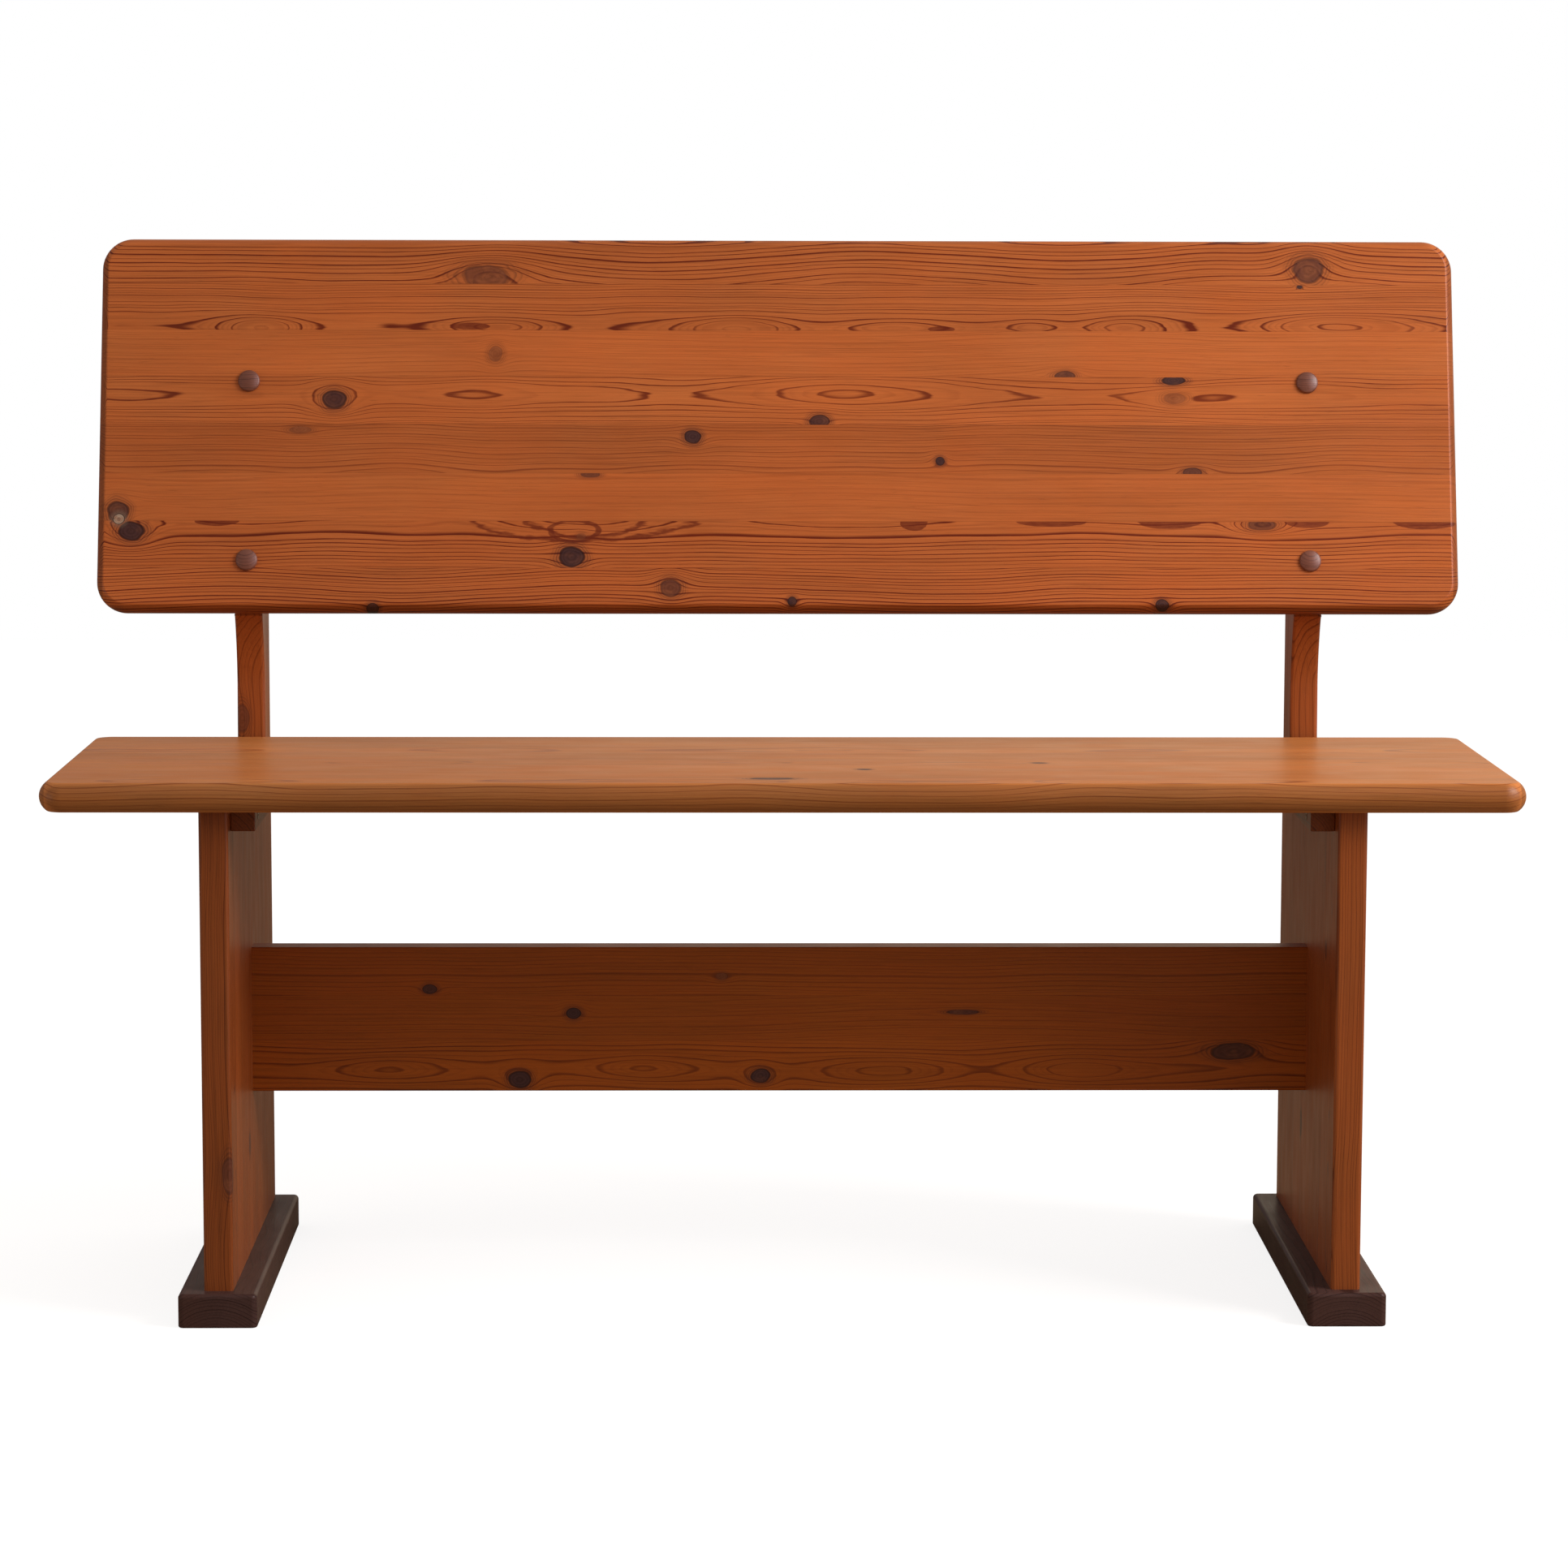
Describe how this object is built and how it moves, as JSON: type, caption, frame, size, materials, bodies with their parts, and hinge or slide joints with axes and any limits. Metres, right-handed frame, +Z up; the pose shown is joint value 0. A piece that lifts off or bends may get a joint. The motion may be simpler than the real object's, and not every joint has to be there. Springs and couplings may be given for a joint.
{
  "type": "bench",
  "caption": "Pine bench with a leaning backrest, glued-up seat and end panels that rise into curved posts, a stretcher and sled feet.",
  "frame": {"origin": "on the floor, under the middle of the whole bench", "axes": "+X along the bench, towards the left hand of someone who sits on it; +Z up; the sitter faces -Y"},
  "size_m": [1.2, 0.4472, 0.879],
  "materials": {
    "seat": "glossy clear lacquer on aged pine",
    "backrest": "satin clear lacquer on aged pine",
    "end_panels": "satin clear lacquer on aged pine",
    "stretcher": "satin clear lacquer on aged pine",
    "feet": "dark stained wood, satin",
    "cleats": "satin",
    "plugs": "satin",
    "screws": "zinc-plated"
  },
  "bodies": {
    "root": {"backrest_plugs": "plugs", "backrest_screws": "screws", "backrest_stave_1": "backrest", "backrest_stave_2": "backrest", "backrest_stave_3": "backrest", "backrest_stave_4": "backrest", "backrest_stave_5": "backrest", "backrest_stave_6": "backrest", "backrest_stave_7": "backrest", "backrest_stave_8": "backrest", "cleat_screws": "screws", "foot_screws": "screws", "left_cleat": "cleats", "left_foot": "feet", "left_panel_stave_1": "end_panels", "left_panel_stave_10": "end_panels", "left_panel_stave_2": "end_panels", "left_panel_stave_3": "end_panels", "left_panel_stave_4": "end_panels", "left_panel_stave_5": "end_panels", "left_panel_stave_6": "end_panels", "left_panel_stave_7": "end_panels", "left_panel_stave_8": "end_panels", "left_panel_stave_9": "end_panels", "panel_plugs": "plugs", "right_cleat": "cleats", "right_foot": "feet", "right_panel_stave_1": "end_panels", "right_panel_stave_10": "end_panels", "right_panel_stave_2": "end_panels", "right_panel_stave_3": "end_panels", "right_panel_stave_4": "end_panels", "right_panel_stave_5": "end_panels", "right_panel_stave_6": "end_panels", "right_panel_stave_7": "end_panels", "right_panel_stave_8": "end_panels", "right_panel_stave_9": "end_panels", "seat_screws": "screws", "seat_stave_1": "seat", "seat_stave_2": "seat", "seat_stave_3": "seat", "seat_stave_4": "seat", "seat_stave_5": "seat", "seat_stave_6": "seat", "seat_stave_7": "seat", "seat_stave_8": "seat", "stretcher_screws": "screws", "stretcher_stave_1": "stretcher", "stretcher_stave_2": "stretcher", "stretcher_stave_3": "stretcher"}
  },
  "joints": []
}
